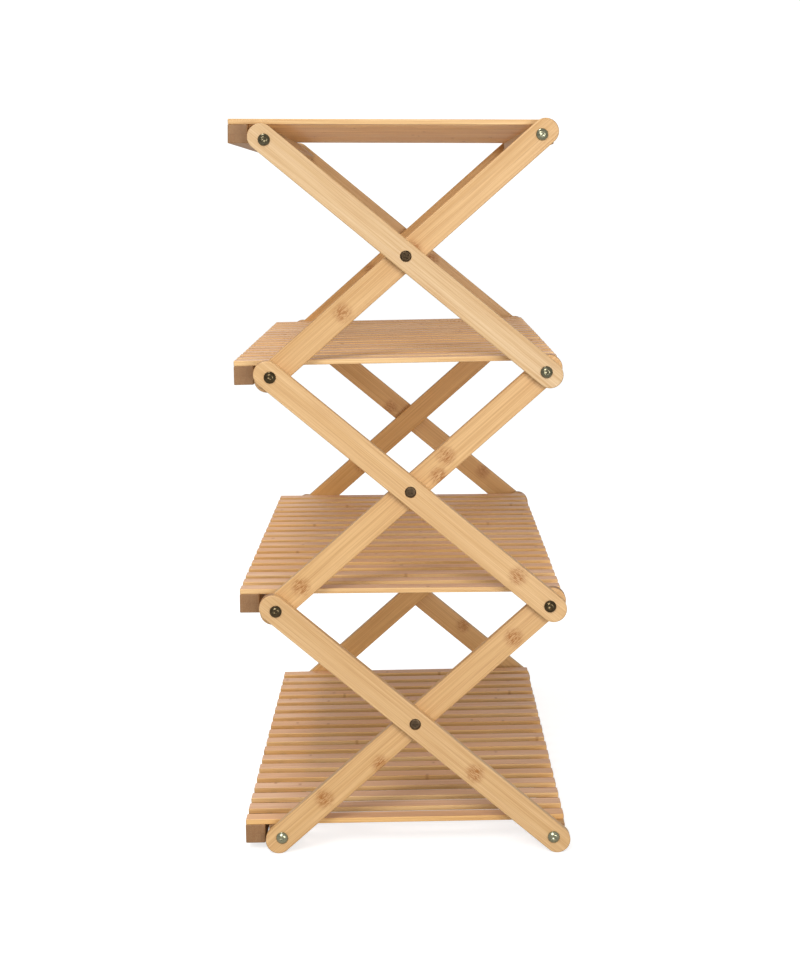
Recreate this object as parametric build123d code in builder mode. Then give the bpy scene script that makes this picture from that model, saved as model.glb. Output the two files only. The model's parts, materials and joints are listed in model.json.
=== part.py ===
"""Folding four-tier bamboo shoe rack.

Two scissor ladders of flat bamboo arms, one at each end, carry four slatted shelves.
Each shelf hinges on the right-hand pivots and drops onto a rest bar at the left-hand
pivots, with its left rail hooked outside the bar, so that the loaded rack can't spread.
To fold it, the arms close like scissors and every shelf swings up on its right rail.

Frame: +X towards the hinged side of the shelves, +Y along the rack, +Z up. The origin is
at the bottom centre of the open rack. Front is the -Y end. All sizes are in millimetres.
"""
import os
from math import asin, atan2, cos, degrees, hypot, radians, sin

from build123d import *

os.makedirs("parts", exist_ok=True)

# Scissor ladders
shelf_count = 4
spread = 274.0            # left pivots to right pivots, rack open
stage_height = 234.5      # one pivot row to the next, rack open
arm_width = 26.5
arm_thickness = 12.0
arm_end_setback = 4.75    # pivot to the centre of the arm's round end
arm_edge = 1.2            # eased edge of an arm
arm_gap = 0.5             # between the inner and the outer arms

# Shelves
slat_count = 18
slat_width = 20.0
slat_thickness = 5.4
slat_pitch = 36.6
slat_edge = 0.9
rail_width = 20.0
rail_height = 19.0
rail_edge = 1.0
hook_clearance = 1.081    # hook rail to the rest bar's corner, as the bar turns
right_overhang = 12.4     # right pivot to the shelf's right end

# Rest bars
bar_width = 28.0
bar_height = 19.0
bar_edge = 1.0
lower_bar_turn = 14.0     # how far the third bar has settled round on its bolts, degrees
rest_gap = 0.3            # shelf to rest bar

# Pivot bolts, washers and threaded inserts
bolt_diameter = 6.0
bolt_head_diameter = 12.0
bolt_head_height = 3.6
bolt_head_rim = 0.9       # straight part of the head below its dome
hex_key = 4.0             # across the flats of the socket
hex_depth = 2.0
head_gap = 0.3            # bolt head to arm
pivot_clearance = 0.08    # bolt to arm hole, on the radius
loop_clearance = 0.3      # the same where the arms close a loop
insert_diameter = 10.0
insert_length = 14.0
drill_tip_space = 4.0     # past the insert, for the bolt's tip
bolt_tip_space = 1.5      # bolt tip to the bottom of its hole
drill_clearance = 0.3     # bolt to that hole, on the radius
washer_diameter = 16.0
washer_thickness = 1.0
washer_bore_clearance = 0.3
washer_gap = 0.4          # washer to arm

# Sleeve screws at the crossings
sleeve_diameter = 8.0
screw_diameter = 5.0
screw_head_diameter = 10.6
screw_head_height = 2.4
screw_recess_clearance = 0.35
screw_recess_depth = 3.0
cross_slot_length = 6.4
cross_slot_width = 1.3
cross_slot_depth = 1.3
sleeve_floor = 1.6        # closed end of the threaded sleeve
sleeve_wall = 3.0         # inner arm left solid behind the sleeve
sleeve_wall_end = 2.0     # outer arm left solid past the sleeve's end

# Derived places
arm_length = hypot(spread, stage_height)
arm_angle = degrees(atan2(stage_height, spread))
end_radius = arm_width / 2
foot_height = end_radius + arm_end_setback * sin(radians(arm_angle))
left_overhang = hypot(bar_width / 2, bar_height / 2) + hook_clearance + rail_width
left_reach = spread / 2 + left_overhang
right_reach = spread / 2 + arm_end_setback * cos(radians(arm_angle)) + end_radius
middle_x = (left_reach - right_reach) / 2
left_x = middle_x - spread / 2
right_x = middle_x + spread / 2

shelf_half = ((slat_count - 1) * slat_pitch + slat_width) / 2
inner_face = shelf_half + washer_thickness + washer_gap
inner_back = inner_face + arm_thickness
outer_face = inner_back + arm_gap
outer_back = outer_face + arm_thickness
long_half = outer_face - washer_gap - washer_thickness
rail_seat = bar_height / 2 + rest_gap    # rail top and slat underside, above the pivots

rows = range(1, shelf_count + 1)         # 1 is the top row of pivots
stages = range(1, shelf_count)
bar_turns = {1: arm_angle, 3: lower_bar_turn}


def row_height(row):
    """Height of a row of pivots; row 1 is the top one."""
    return foot_height + (shelf_count - row) * stage_height


def end_plane(x, y, z, turn=0.0):
    """Upright plane facing the front at a point, turned clockwise as the front sees it."""
    swing = radians(turn)
    return Plane(origin=(x, y, z), x_dir=(cos(swing), 0, -sin(swing)), z_dir=(0, -1, 0))


def shelf_tilt(row):
    """Tilt, in degrees, that brings a shelf down onto the top corner of its turned bar."""
    turn = radians(bar_turns.get(row, 0.0))
    half_width = bar_width / 2 - bar_edge
    half_height = bar_height / 2 - bar_edge
    corner_x = spread + half_width * cos(turn) - half_height * sin(turn)
    corner_z = half_width * sin(turn) + half_height * cos(turn)
    reach = hypot(corner_x, corner_z)
    return degrees(atan2(corner_z, corner_x) - asin(half_height / reach))


def save(piece, name):
    """Label a finished piece and write it to its own file."""
    piece.part.label = name
    export_step(piece.part, f"parts/{name}.step")


def mirrored(front):
    """The same piece at the rack's other end."""
    with BuildPart() as rear:
        mirror(front.part, about=Plane.XZ)
    return rear


# Arms -----------------------------------------------------------------------------------
def make_arm(stage, rising, back, bores, wall, pocket=None):
    """Flat arm with round ends, at the front end of the rack.

    bores are the radii at the left pivot, the crossing and the right pivot. The crossing's
    bore leaves wall solid on the inside. pocket is the radius and the depth of the
    counterbore round it on the outside.
    """
    middle = end_plane(middle_x, -back, (row_height(stage) + row_height(stage + 1)) / 2,
                       -arm_angle if rising else arm_angle)
    with BuildPart() as arm:
        with BuildSketch(middle.offset(-arm_thickness)):
            SlotCenterToCenter(arm_length + 2 * arm_end_setback, arm_width)
        extrude(amount=arm_thickness)
        fillet(arm.edges().group_by(Axis.Y)[0] + arm.edges().group_by(Axis.Y)[-1], arm_edge)
        with BuildSketch(middle.offset(-arm_thickness)):
            for along, radius in ((-arm_length / 2, bores[0]), (arm_length / 2, bores[2])):
                with Locations((along, 0)):
                    Circle(radius)
        extrude(amount=arm_thickness, mode=Mode.SUBTRACT)
        with BuildSketch(middle):
            Circle(bores[1])
        extrude(amount=wall - arm_thickness, mode=Mode.SUBTRACT)
        if pocket:
            with BuildSketch(middle):
                Circle(pocket[0])
            extrude(amount=-pocket[1], mode=Mode.SUBTRACT)
    return arm


bolt_bore = bolt_diameter / 2 + pivot_clearance
loop_bore = bolt_diameter / 2 + loop_clearance
sleeve_bore = sleeve_diameter / 2 + pivot_clearance
screw_recess = screw_head_diameter / 2 + screw_recess_clearance
sleeve_start = inner_face + sleeve_wall + head_gap
stage_names = {1: "upper", shelf_count - 1: "lower"}

for stage in stages:
    place = stage_names.get(stage, "middle" if shelf_count == 4 else f"middle_{stage}")
    is_top = stage == 1
    rising_bores = (bolt_bore, sleeve_bore, bolt_bore if is_top else loop_bore)
    rising_arm = make_arm(stage, True, inner_back, rising_bores, sleeve_wall)
    falling_arm = make_arm(stage, False, outer_back, (bolt_bore, sleeve_bore, bolt_bore),
                           0.0, (screw_recess, screw_recess_depth))
    save(rising_arm, f"{place}_inner_arm_front")
    save(mirrored(rising_arm), f"{place}_inner_arm_rear")
    save(falling_arm, f"{place}_outer_arm_front")
    save(mirrored(falling_arm), f"{place}_outer_arm_rear")


# Rails, rest bars and slats -------------------------------------------------------------
def make_beam(plane, centre, width, height, half_length, edge, bore_at=None):
    """Long square-edged stick along Y, bored at both ends for threaded inserts."""
    with BuildPart() as beam:
        with BuildSketch(plane.offset(-half_length)):
            with Locations(centre):
                Rectangle(width, height)
        extrude(amount=2 * half_length)
        fillet(beam.edges().filter_by(Axis.Y), edge)
        if bore_at is not None:
            for offset, depth in ((half_length, -insert_length), (-half_length, insert_length)):
                with BuildSketch(plane.offset(offset)):
                    with Locations(bore_at):
                        Circle(insert_diameter / 2)
                extrude(amount=depth, mode=Mode.SUBTRACT)
                tip = depth + (drill_tip_space if depth > 0 else -drill_tip_space)
                with BuildSketch(plane.offset(offset)):
                    with Locations(bore_at):
                        Circle(bolt_diameter / 2 + drill_clearance)
                extrude(amount=tip, mode=Mode.SUBTRACT)
    return beam


def make_slats(plane):
    """All the slats of one shelf, lying across its two rails."""
    length = left_overhang + spread + right_overhang
    centre_u = (right_overhang - spread - left_overhang) / 2
    with BuildPart() as slat:
        with BuildSketch(plane.offset(shelf_half - slat_width)):
            with Locations((centre_u, rail_seat + slat_thickness / 2)):
                Rectangle(length, slat_thickness)
        extrude(amount=slat_width)
        fillet(slat.edges().group_by(Axis(plane.origin, plane.y_dir))[-1], slat_edge)
    with BuildPart() as slats:
        with Locations(*[(0, slat_pitch * number, 0) for number in range(slat_count)]):
            add(slat.part)
    return slats


for row in rows:
    z = row_height(row)
    tilt = shelf_tilt(row)
    hinge_plane = end_plane(right_x, 0, z, tilt)
    rail_v = rail_seat - rail_height / 2
    right_u = right_overhang - rail_width / 2
    left_u = rail_width / 2 - spread - left_overhang
    rail_half = long_half if row == shelf_count else shelf_half
    save(make_beam(hinge_plane, (right_u, rail_v), rail_width, rail_height, rail_half,
                   rail_edge, (0, 0)), f"shelf_{row}_hinge_rail")
    save(make_beam(hinge_plane, (left_u, rail_v), rail_width, rail_height, shelf_half,
                   rail_edge), f"shelf_{row}_hook_rail")
    save(make_slats(hinge_plane), f"shelf_{row}_slats")

    bar_plane = end_plane(left_x, 0, z, bar_turns.get(row, 0.0))
    bar_half = long_half if row == 1 else shelf_half
    save(make_beam(bar_plane, (0, 0), bar_width, bar_height, bar_half, bar_edge, (0, 0)),
         f"rest_bar_{row}")


# Pivot hardware -------------------------------------------------------------------------
def make_bolt(shank_length):
    """One domed socket bolt, its head on the origin's -Y side and its shank along +Y."""
    dome = bolt_head_height - bolt_head_rim
    dome_radius = ((bolt_head_diameter / 2) ** 2 + dome ** 2) / (2 * dome)
    half_turn = asin(bolt_head_diameter / 2 / dome_radius) / 2
    dome_middle = (dome_radius * sin(half_turn),
                   dome_radius * (1 - cos(half_turn)) - bolt_head_height)
    with BuildPart() as bolt:
        with BuildSketch(Plane.XY):
            with BuildLine():
                rim = Line((bolt_head_diameter / 2, 0), (bolt_head_diameter / 2, -bolt_head_rim))
                ThreePointArc(rim @ 1, dome_middle, (0, -bolt_head_height))
                Polyline((0, -bolt_head_height), (0, shank_length),
                         (bolt_diameter / 2, shank_length), (bolt_diameter / 2, 0), rim @ 0)
            make_face()
        revolve(axis=Axis.Y)
        with BuildSketch(end_plane(0, -bolt_head_height, 0)):
            RegularPolygon(hex_key / 2, 6, major_radius=False)
        extrude(amount=-hex_depth, mode=Mode.SUBTRACT)
    return bolt


def make_bolts(x, z, head_face, beam_end):
    """The bolts of one pivot axis: one at the front end, one at the rear."""
    head_y = -head_face - head_gap
    tip_y = -beam_end + insert_length + drill_tip_space - bolt_tip_space
    bolt = make_bolt(tip_y - head_y)
    with BuildPart() as bolts:
        with Locations((x, head_y, z)):
            add(bolt.part)
        mirror(about=Plane.XZ)
    return bolts


def make_sleeves(x, z, start, length, outer_radius, bore_radius):
    """Plain rings on one pivot axis, front and rear, running inwards from start."""
    with BuildPart() as sleeves:
        with BuildSketch(end_plane(x, -start, z)):
            Circle(outer_radius)
            Circle(bore_radius, mode=Mode.SUBTRACT)
        extrude(amount=-length)
        mirror(about=Plane.XZ)
    return sleeves


def save_pivot(name, x, row, head_face, beam_end):
    """Bolts, washers and threaded inserts of one pivot axis."""
    z = row_height(row)
    save(make_bolts(x, z, head_face, beam_end), f"{name}_bolts")
    save(make_sleeves(x, z, beam_end + washer_thickness, washer_thickness,
                      washer_diameter / 2, bolt_diameter / 2 + washer_bore_clearance),
         f"{name}_washers")
    save(make_sleeves(x, z, beam_end, insert_length, insert_diameter / 2, bolt_diameter / 2),
         f"{name}_inserts")


for row in rows:
    # The top left and bottom right pivots go through an outer arm alone, and the top
    # right and bottom left ones through an inner arm alone. The rest go through both.
    left_head = inner_back if row == shelf_count else outer_back
    right_head = inner_back if row == 1 else outer_back
    save_pivot(f"left_pivot_{row}", left_x, row, left_head,
               long_half if row == 1 else shelf_half)
    save_pivot(f"right_pivot_{row}", right_x, row, right_head,
               long_half if row == shelf_count else shelf_half)


# Crossing hardware ----------------------------------------------------------------------
def make_cross_screws(z):
    """Cross-head screws, sunk in the outer arms, that thread into the sleeve nuts."""
    seat = outer_back - screw_recess_depth
    with BuildPart() as screws:
        with BuildSketch(end_plane(middle_x, -seat, z)):
            Circle(screw_head_diameter / 2)
        extrude(amount=screw_head_height)
        fillet(screws.edges().group_by(Axis.Y)[0], screw_head_height / 4)
        with BuildSketch(end_plane(middle_x, -seat, z)):
            Circle(screw_diameter / 2)
        extrude(amount=-(seat - sleeve_start - sleeve_floor))
        with BuildSketch(end_plane(middle_x, -seat - screw_head_height, z)):
            Rectangle(cross_slot_length, cross_slot_width)
            Rectangle(cross_slot_width, cross_slot_length)
        extrude(amount=-cross_slot_depth, mode=Mode.SUBTRACT)
        mirror(about=Plane.XZ)
    return screws


def make_sleeve_nuts(z):
    """Threaded sleeves, set blind in the inner arms, that the arms turn on."""
    with BuildPart() as nuts:
        with BuildSketch(end_plane(middle_x, -sleeve_start, z)):
            Circle(sleeve_diameter / 2)
        extrude(amount=outer_back - screw_recess_depth - sleeve_wall_end - sleeve_start)
        with BuildSketch(end_plane(middle_x, -sleeve_start - sleeve_floor, z)):
            Circle(screw_diameter / 2)
        extrude(amount=outer_back, mode=Mode.SUBTRACT)
        mirror(about=Plane.XZ)
    return nuts


for stage in stages:
    crossing_z = (row_height(stage) + row_height(stage + 1)) / 2
    save(make_cross_screws(crossing_z), f"crossing_{stage}_screws")
    save(make_sleeve_nuts(crossing_z), f"crossing_{stage}_sleeve_nuts")
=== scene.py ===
"""Folding four-tier bamboo shoe rack, dressed and lit for a studio picture.

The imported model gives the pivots, the bodies and the overall box. This script makes the
visible bamboo and metal around them: laminated arms with round ends, eased slats, rails and
rest bars with their end grain, domed socket bolts and sunk cross-head screws.
All lengths are in metres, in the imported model's frame: +X towards the hinged side of the
shelves, +Y along the rack, +Z up.
"""

import json
import logging
import math
import random
from dataclasses import dataclass, field
from enum import Enum
from typing import Any, Callable, Sequence

import bmesh
import bpy
from mathutils import Matrix, Vector


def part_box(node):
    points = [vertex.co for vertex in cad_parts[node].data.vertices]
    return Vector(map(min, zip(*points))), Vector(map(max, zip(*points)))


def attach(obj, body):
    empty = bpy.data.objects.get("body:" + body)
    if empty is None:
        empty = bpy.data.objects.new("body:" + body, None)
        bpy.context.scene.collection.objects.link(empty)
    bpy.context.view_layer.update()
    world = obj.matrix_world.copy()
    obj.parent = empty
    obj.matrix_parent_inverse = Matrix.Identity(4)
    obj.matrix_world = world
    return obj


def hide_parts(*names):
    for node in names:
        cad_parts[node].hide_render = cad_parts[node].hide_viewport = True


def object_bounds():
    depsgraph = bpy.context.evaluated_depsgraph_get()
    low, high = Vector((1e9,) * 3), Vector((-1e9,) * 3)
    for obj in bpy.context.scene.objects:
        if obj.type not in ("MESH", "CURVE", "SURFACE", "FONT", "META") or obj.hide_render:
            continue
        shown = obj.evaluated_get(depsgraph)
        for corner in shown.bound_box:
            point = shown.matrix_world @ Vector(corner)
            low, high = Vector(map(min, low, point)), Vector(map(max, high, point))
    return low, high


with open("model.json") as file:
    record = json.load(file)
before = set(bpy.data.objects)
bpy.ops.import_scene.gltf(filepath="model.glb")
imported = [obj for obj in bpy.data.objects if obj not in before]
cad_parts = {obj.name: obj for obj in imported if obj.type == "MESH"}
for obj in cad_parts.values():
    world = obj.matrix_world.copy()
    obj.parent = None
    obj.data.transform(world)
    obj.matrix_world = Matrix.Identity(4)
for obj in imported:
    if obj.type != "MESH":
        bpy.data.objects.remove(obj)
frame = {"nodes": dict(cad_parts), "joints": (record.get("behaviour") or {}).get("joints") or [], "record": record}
CAD_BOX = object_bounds()

LOG = logging.getLogger("shoe_rack")
ROWS = (1, 2, 3, 4)
STAGES = {1: "upper", 2: "middle", 3: "lower"}
RIM_POINTS = 64   # edges of an arm's outline
HOLE_POINTS = 48  # edges of a bore, a head or a shank
SHARP_ANGLE = math.radians(50)
INSERT_RADIUS, INSERT_DEPTH = 0.005, 0.014  # bore for a threaded insert
TIP_RADIUS, TIP_DEPTH = 0.0033, 0.018       # bore for the tip of a bolt, past the insert

Colour = tuple[float, float, float, float]
Loop = list[bmesh.types.BMEdge]
Radius = float | Callable[[float], float]


class End(Enum):
    """An end of the rack, by the world Y direction that faces out of it."""

    FRONT = -1
    REAR = 1


class Slope(Enum):
    """How an arm runs, seen from the front."""

    RISING = 1
    FALLING = -1


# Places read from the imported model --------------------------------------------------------
@dataclass(frozen=True)
class Places:
    """Where the pivots are, and how the shelves lie."""

    left_x: float
    right_x: float
    inner_face: float
    row_z: dict[int, float]
    shelf_tilt: dict[int, float]

    @classmethod
    def read(cls) -> "Places":
        """Reads the pivots from the joints, and the tilts from the shelves' top faces.

        Returns:
            The places, with angles in radians.
        """
        joints = {joint["name"]: Vector(joint["pos_m"]) for joint in frame["joints"]}
        tops = {mount["name"]: mount["axis"] for mount in frame["record"]["mounts"]}
        row_z = {
            1: joints["shelf_1_hinge"].z,
            2: joints["upper_left_pivot"].z,
            3: joints["lower_left_pivot"].z,
            4: joints["fold"].z,
        }
        tilt = {row: math.atan2(tops[f"shelf_{row}_top"][0], tops[f"shelf_{row}_top"][2])
                for row in ROWS}
        inner_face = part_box("upper_inner_arm_rear")[0].y
        return cls(joints["fold"].x, joints["shelf_1_hinge"].x, inner_face, row_z, tilt)

    @property
    def middle_x(self) -> float:
        """X of the arms' crossings."""
        return (self.left_x + self.right_x) / 2

    @property
    def arm_angle(self) -> float:
        """Angle of the arms above the floor."""
        return math.atan2(self.row_z[1] - self.row_z[2], self.right_x - self.left_x)

    @property
    def arm_length(self) -> float:
        """Pivot to pivot along an arm."""
        return math.hypot(self.row_z[1] - self.row_z[2], self.right_x - self.left_x)

    def crossing_z(self, stage: int) -> float:
        """Height of a stage's crossing, where 1 is the top stage."""
        return (self.row_z[stage] + self.row_z[stage + 1]) / 2


def upright(place: Vector, angle: float, end: End) -> Matrix:
    """A frame whose Z points out of an end of the rack and whose Y points up.

    Args:
        place: Its origin.
        angle: How far it is turned anticlockwise, as the front sees it, in radians.
        end: The end that it faces out of.

    Returns:
        The frame as a 4 by 4 matrix.
    """
    along = Vector((math.cos(angle), 0.0, math.sin(angle))) * -end.value
    out = Vector((0.0, float(end.value), 0.0))
    turned = Matrix((along, out.cross(along), out)).transposed()
    return Matrix.Translation(place) @ turned.to_4x4()


# Mesh making ------------------------------------------------------------------------------
def hexagon(across_flats: float) -> Callable[[float], float]:
    """Radius of a hexagon by angle, for a socket of that size across its flats."""
    sector = math.pi / 3
    return lambda angle: across_flats / 2 / math.cos((angle + sector / 2) % sector - sector / 2)


def plus_sign(length: float, width: float) -> Callable[[float], float]:
    """Describes a plus sign by its radius at each angle.

    Args:
        length: The length of its slots.
        width: The width of its slots.

    Returns:
        A function from an angle in radians to the radius.
    """
    quarter = math.pi / 2

    def radius(angle: float) -> float:
        """Measures from the centre to the plus sign's edge.

        Args:
            angle: Where, in radians.

        Returns:
            The distance.
        """
        local = abs((angle + quarter / 2) % quarter - quarter / 2)
        if local < math.atan2(width, length):
            return length / 2 / math.cos(local)
        return width / 2 / math.sin(local)

    return radius


def tube(bm: bmesh.types.BMesh, steps: Sequence[tuple[Radius, float]],
         at: Sequence[float] = (0.0, 0.0), stretch: float = 0.0,
         points: int = HOLE_POINTS) -> tuple[Loop, Loop]:
    """Adds level rings, each extruded from the one before it.

    Args:
        bm: The mesh they go in.
        steps: Each ring's radius, or its radius by angle, and its Z.
        at: Their centre in X and Y.
        stretch: How far each half is moved outwards along X, which makes a slot.
        points: How many edges each ring has.

    Returns:
        The edges of the first ring and of the last one.
    """
    half_step = Matrix.Translation((*at, 0)) @ Matrix.Rotation(math.pi / points, 4, "Z")
    verts = bmesh.ops.create_circle(bm, cap_ends=False, segments=points, radius=1.0,
                                    matrix=half_step)["verts"]
    loops = [list({edge for vert in verts for edge in vert.link_edges})]
    for number, (radius, height) in enumerate(steps):
        if number:
            made = bmesh.ops.extrude_edge_only(bm, edges=loops[-1])["geom"]
            verts = [item for item in made if isinstance(item, bmesh.types.BMVert)]
            new = set(verts)
            loops.append([edge for edge in bm.edges if new.issuperset(edge.verts)])
        for vert in verts:
            x = vert.co.x - at[0]
            if number:
                x -= math.copysign(stretch, x)
            angle = math.atan2(vert.co.y - at[1], x)
            reach = radius(angle) if callable(radius) else radius
            vert.co = (at[0] + reach * math.cos(angle) + math.copysign(stretch, x),
                       at[1] + reach * math.sin(angle), height)
    return loops[0], loops[-1]


def block(width: float, depth: float, height: float, edge: float) -> bmesh.types.BMesh:
    """A box about the origin with every edge rounded over.

    Args:
        width: Its size along X.
        depth: Its size along Y.
        height: Its size along Z.
        edge: The radius of its edges.

    Returns:
        The solid.
    """
    bm = bmesh.new()
    bmesh.ops.create_cube(bm, size=1.0)
    bmesh.ops.scale(bm, vec=(width, depth, height), verts=bm.verts)
    bmesh.ops.bevel(bm, geom=bm.edges[:], offset=edge, offset_type="OFFSET", segments=3,
                    profile=0.5, affect="EDGES", material=-1, clamp_overlap=True)
    bmesh.ops.recalc_face_normals(bm, faces=bm.faces)
    return bm


def cap(bm: bmesh.types.BMesh, *loops: Loop) -> None:
    """Fills a flat face inside the first loop, leaving the other loops open."""
    edges = [edge for loop in loops for edge in loop]
    bmesh.ops.triangle_fill(bm, use_beauty=True, use_dissolve=False, edges=edges)


def turned(steps: Sequence[tuple[Radius, float]]) -> bmesh.types.BMesh:
    """Makes a closed solid of rings, from its bottom to the floor of the recess in its top.

    Args:
        steps: Each ring's radius, or its radius by angle, and its Z.

    Returns:
        The solid.
    """
    bm = bmesh.new()
    for loop in tube(bm, steps):
        cap(bm, loop)
    bmesh.ops.recalc_face_normals(bm, faces=bm.faces)
    return bm


def mark_grain(bm: bmesh.types.BMesh, along: int, board: float) -> None:
    """Writes what the bamboo finish reads: places along the board, end grain and its number.

    Args:
        bm: One board, still in its own frame.
        along: The axis that its fibres follow, 0 for X and 2 for Z.
        board: A number from 0 to 1 that makes this board's pattern its own.
    """
    bm.normal_update()
    end_grain = bm.faces.layers.float.new("end_grain")
    number = bm.faces.layers.float.new("board")
    grain = bm.verts.layers.float_vector.new("grain")
    for face in bm.faces:
        face[end_grain] = abs(face.normal[along])
        face[number] = board
    for vert in bm.verts:
        vert[grain] = [vert.co[(along + step) % 3] for step in range(3)]


def place(bm: bmesh.types.BMesh, matrix: Matrix) -> bmesh.types.BMesh:
    """Moves a solid from its own frame to its place in the rack, and returns it."""
    bmesh.ops.transform(bm, matrix=matrix, verts=bm.verts)
    return bm


def make_piece(name: str, solids: Sequence[bmesh.types.BMesh], finish: bpy.types.Material,
               body: str, node: str) -> bpy.types.Object:
    """Joins placed solids into one piece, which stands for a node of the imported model.

    Args:
        name: The piece's name.
        solids: Its closed solids, which are used up.
        finish: Its material.
        body: The body that it rides on.
        node: The node that it replaces.

    Returns:
        The piece.
    """
    joined = bmesh.new()
    for solid in solids:
        scrap = bpy.data.meshes.new("scrap")
        solid.to_mesh(scrap)
        solid.free()
        joined.from_mesh(scrap)
        bpy.data.meshes.remove(scrap)
    mesh = bpy.data.meshes.new(name)
    joined.to_mesh(mesh)
    joined.free()
    mesh.shade_smooth()
    mesh.set_sharp_from_angle(angle=SHARP_ANGLE)
    mesh.materials.append(finish)
    piece = bpy.data.objects.new(name, mesh)
    bpy.context.scene.collection.objects.link(piece)
    weighted = piece.modifiers.new("flat faces stay flat", "WEIGHTED_NORMAL")
    weighted.keep_sharp = True
    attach(piece, body)
    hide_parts(node)
    LOG.info("%s: %d faces, rides on %s", name, len(mesh.polygons), body)
    return piece


# Shader graphs ----------------------------------------------------------------------------
class Graph:
    """Adds the nodes of one tree and wires them up."""

    def __init__(self, tree: bpy.types.NodeTree) -> None:
        """Starts on a tree."""
        self.tree = tree

    def feed(self, socket: bpy.types.NodeSocket, value: Any) -> None:
        """Gives an input what it reads.

        Args:
            socket: The input.
            value: An output to link to it, or the value that it keeps.
        """
        if isinstance(value, bpy.types.NodeSocket):
            self.tree.links.new(value, socket)
        else:
            socket.default_value = value

    def add(self, kind: str, inputs: dict[str | int, Any] | None = None,
            **settings: Any) -> bpy.types.Node:
        """Adds a node.

        Args:
            kind: Its type, without the leading ShaderNode.
            inputs: Values or sockets for its inputs, by name or number.
            **settings: Its own settings.

        Returns:
            The node.
        """
        node = self.tree.nodes.new(f"ShaderNode{kind}")
        for name, value in settings.items():
            setattr(node, name, value)
        for name, value in (inputs or {}).items():
            self.feed(node.inputs[name], value)
        return node

    def math(self, operation: str, *terms: Any) -> bpy.types.NodeSocket:
        """Adds a Math node.

        Args:
            operation: What it works out.
            *terms: Numbers or sockets, in its order.

        Returns:
            Its result.
        """
        node = self.add("Math", operation=operation)
        for socket, term in zip(node.inputs, terms):
            self.feed(socket, term)
        return node.outputs[0]

    def fade(self, value: Any, low: float, high: float) -> bpy.types.NodeSocket:
        """Smoothly 0 at low and 1 at high."""
        node = self.add("MapRange", {"Value": value, "From Min": low, "From Max": high},
                        interpolation_type="SMOOTHSTEP")
        return node.outputs[0]

    def mix(self, factor: Any, first: Any, second: Any, blend: str = "MIX") -> Any:
        """Mixes two colours.

        Args:
            factor: The share of the second one.
            first: The colour underneath.
            second: The colour on top.
            blend: How they are blended.

        Returns:
            The mixed colour.
        """
        node = self.add("Mix", data_type="RGBA", blend_type=blend)
        for index, value in ((0, factor), (6, first), (7, second)):
            self.feed(node.inputs[index], value)
        return node.outputs[2]

    def vector(self, x: Any, y: Any, z: Any) -> bpy.types.NodeSocket:
        """Combines three values."""
        return self.add("CombineXYZ", {"X": x, "Y": y, "Z": z}).outputs[0]

    def scale(self, vector: Any, sizes: Any, operation: str = "MULTIPLY") -> Any:
        """Scales a vector, each axis by its own number."""
        return self.add("VectorMath", {0: vector, 1: sizes}, operation=operation).outputs[0]

    def noise(self, vector: Any, detail: float = 2.0) -> bpy.types.NodeSocket:
        """Noise from 0 to 1 at a scale of one."""
        node = self.add("TexNoise", {"Vector": vector, "Scale": 1.0, "Detail": detail})
        return node.outputs["Fac"]


def group_tree(name: str, inputs: dict[str, Any],
               outputs: dict[str, str]) -> tuple[Graph, bpy.types.Node, bpy.types.Node]:
    """Starts a node group.

    Args:
        name: Its name.
        inputs: Default values by name: a number, three numbers or a colour of four.
        outputs: Socket types by name.

    Returns:
        Its graph, its input node and its output node.
    """
    kinds = {1: "NodeSocketFloat", 3: "NodeSocketVector", 4: "NodeSocketColor"}
    tree = bpy.data.node_groups.new(name, "ShaderNodeTree")
    for label, default in inputs.items():
        size = len(default) if isinstance(default, tuple) else 1
        tree.interface.new_socket(label, in_out="INPUT",
                                  socket_type=kinds[size]).default_value = default
    for label, kind in outputs.items():
        tree.interface.new_socket(label, in_out="OUTPUT", socket_type=kind)
    return Graph(tree), tree.nodes.new("NodeGroupInput"), tree.nodes.new("NodeGroupOutput")


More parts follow.
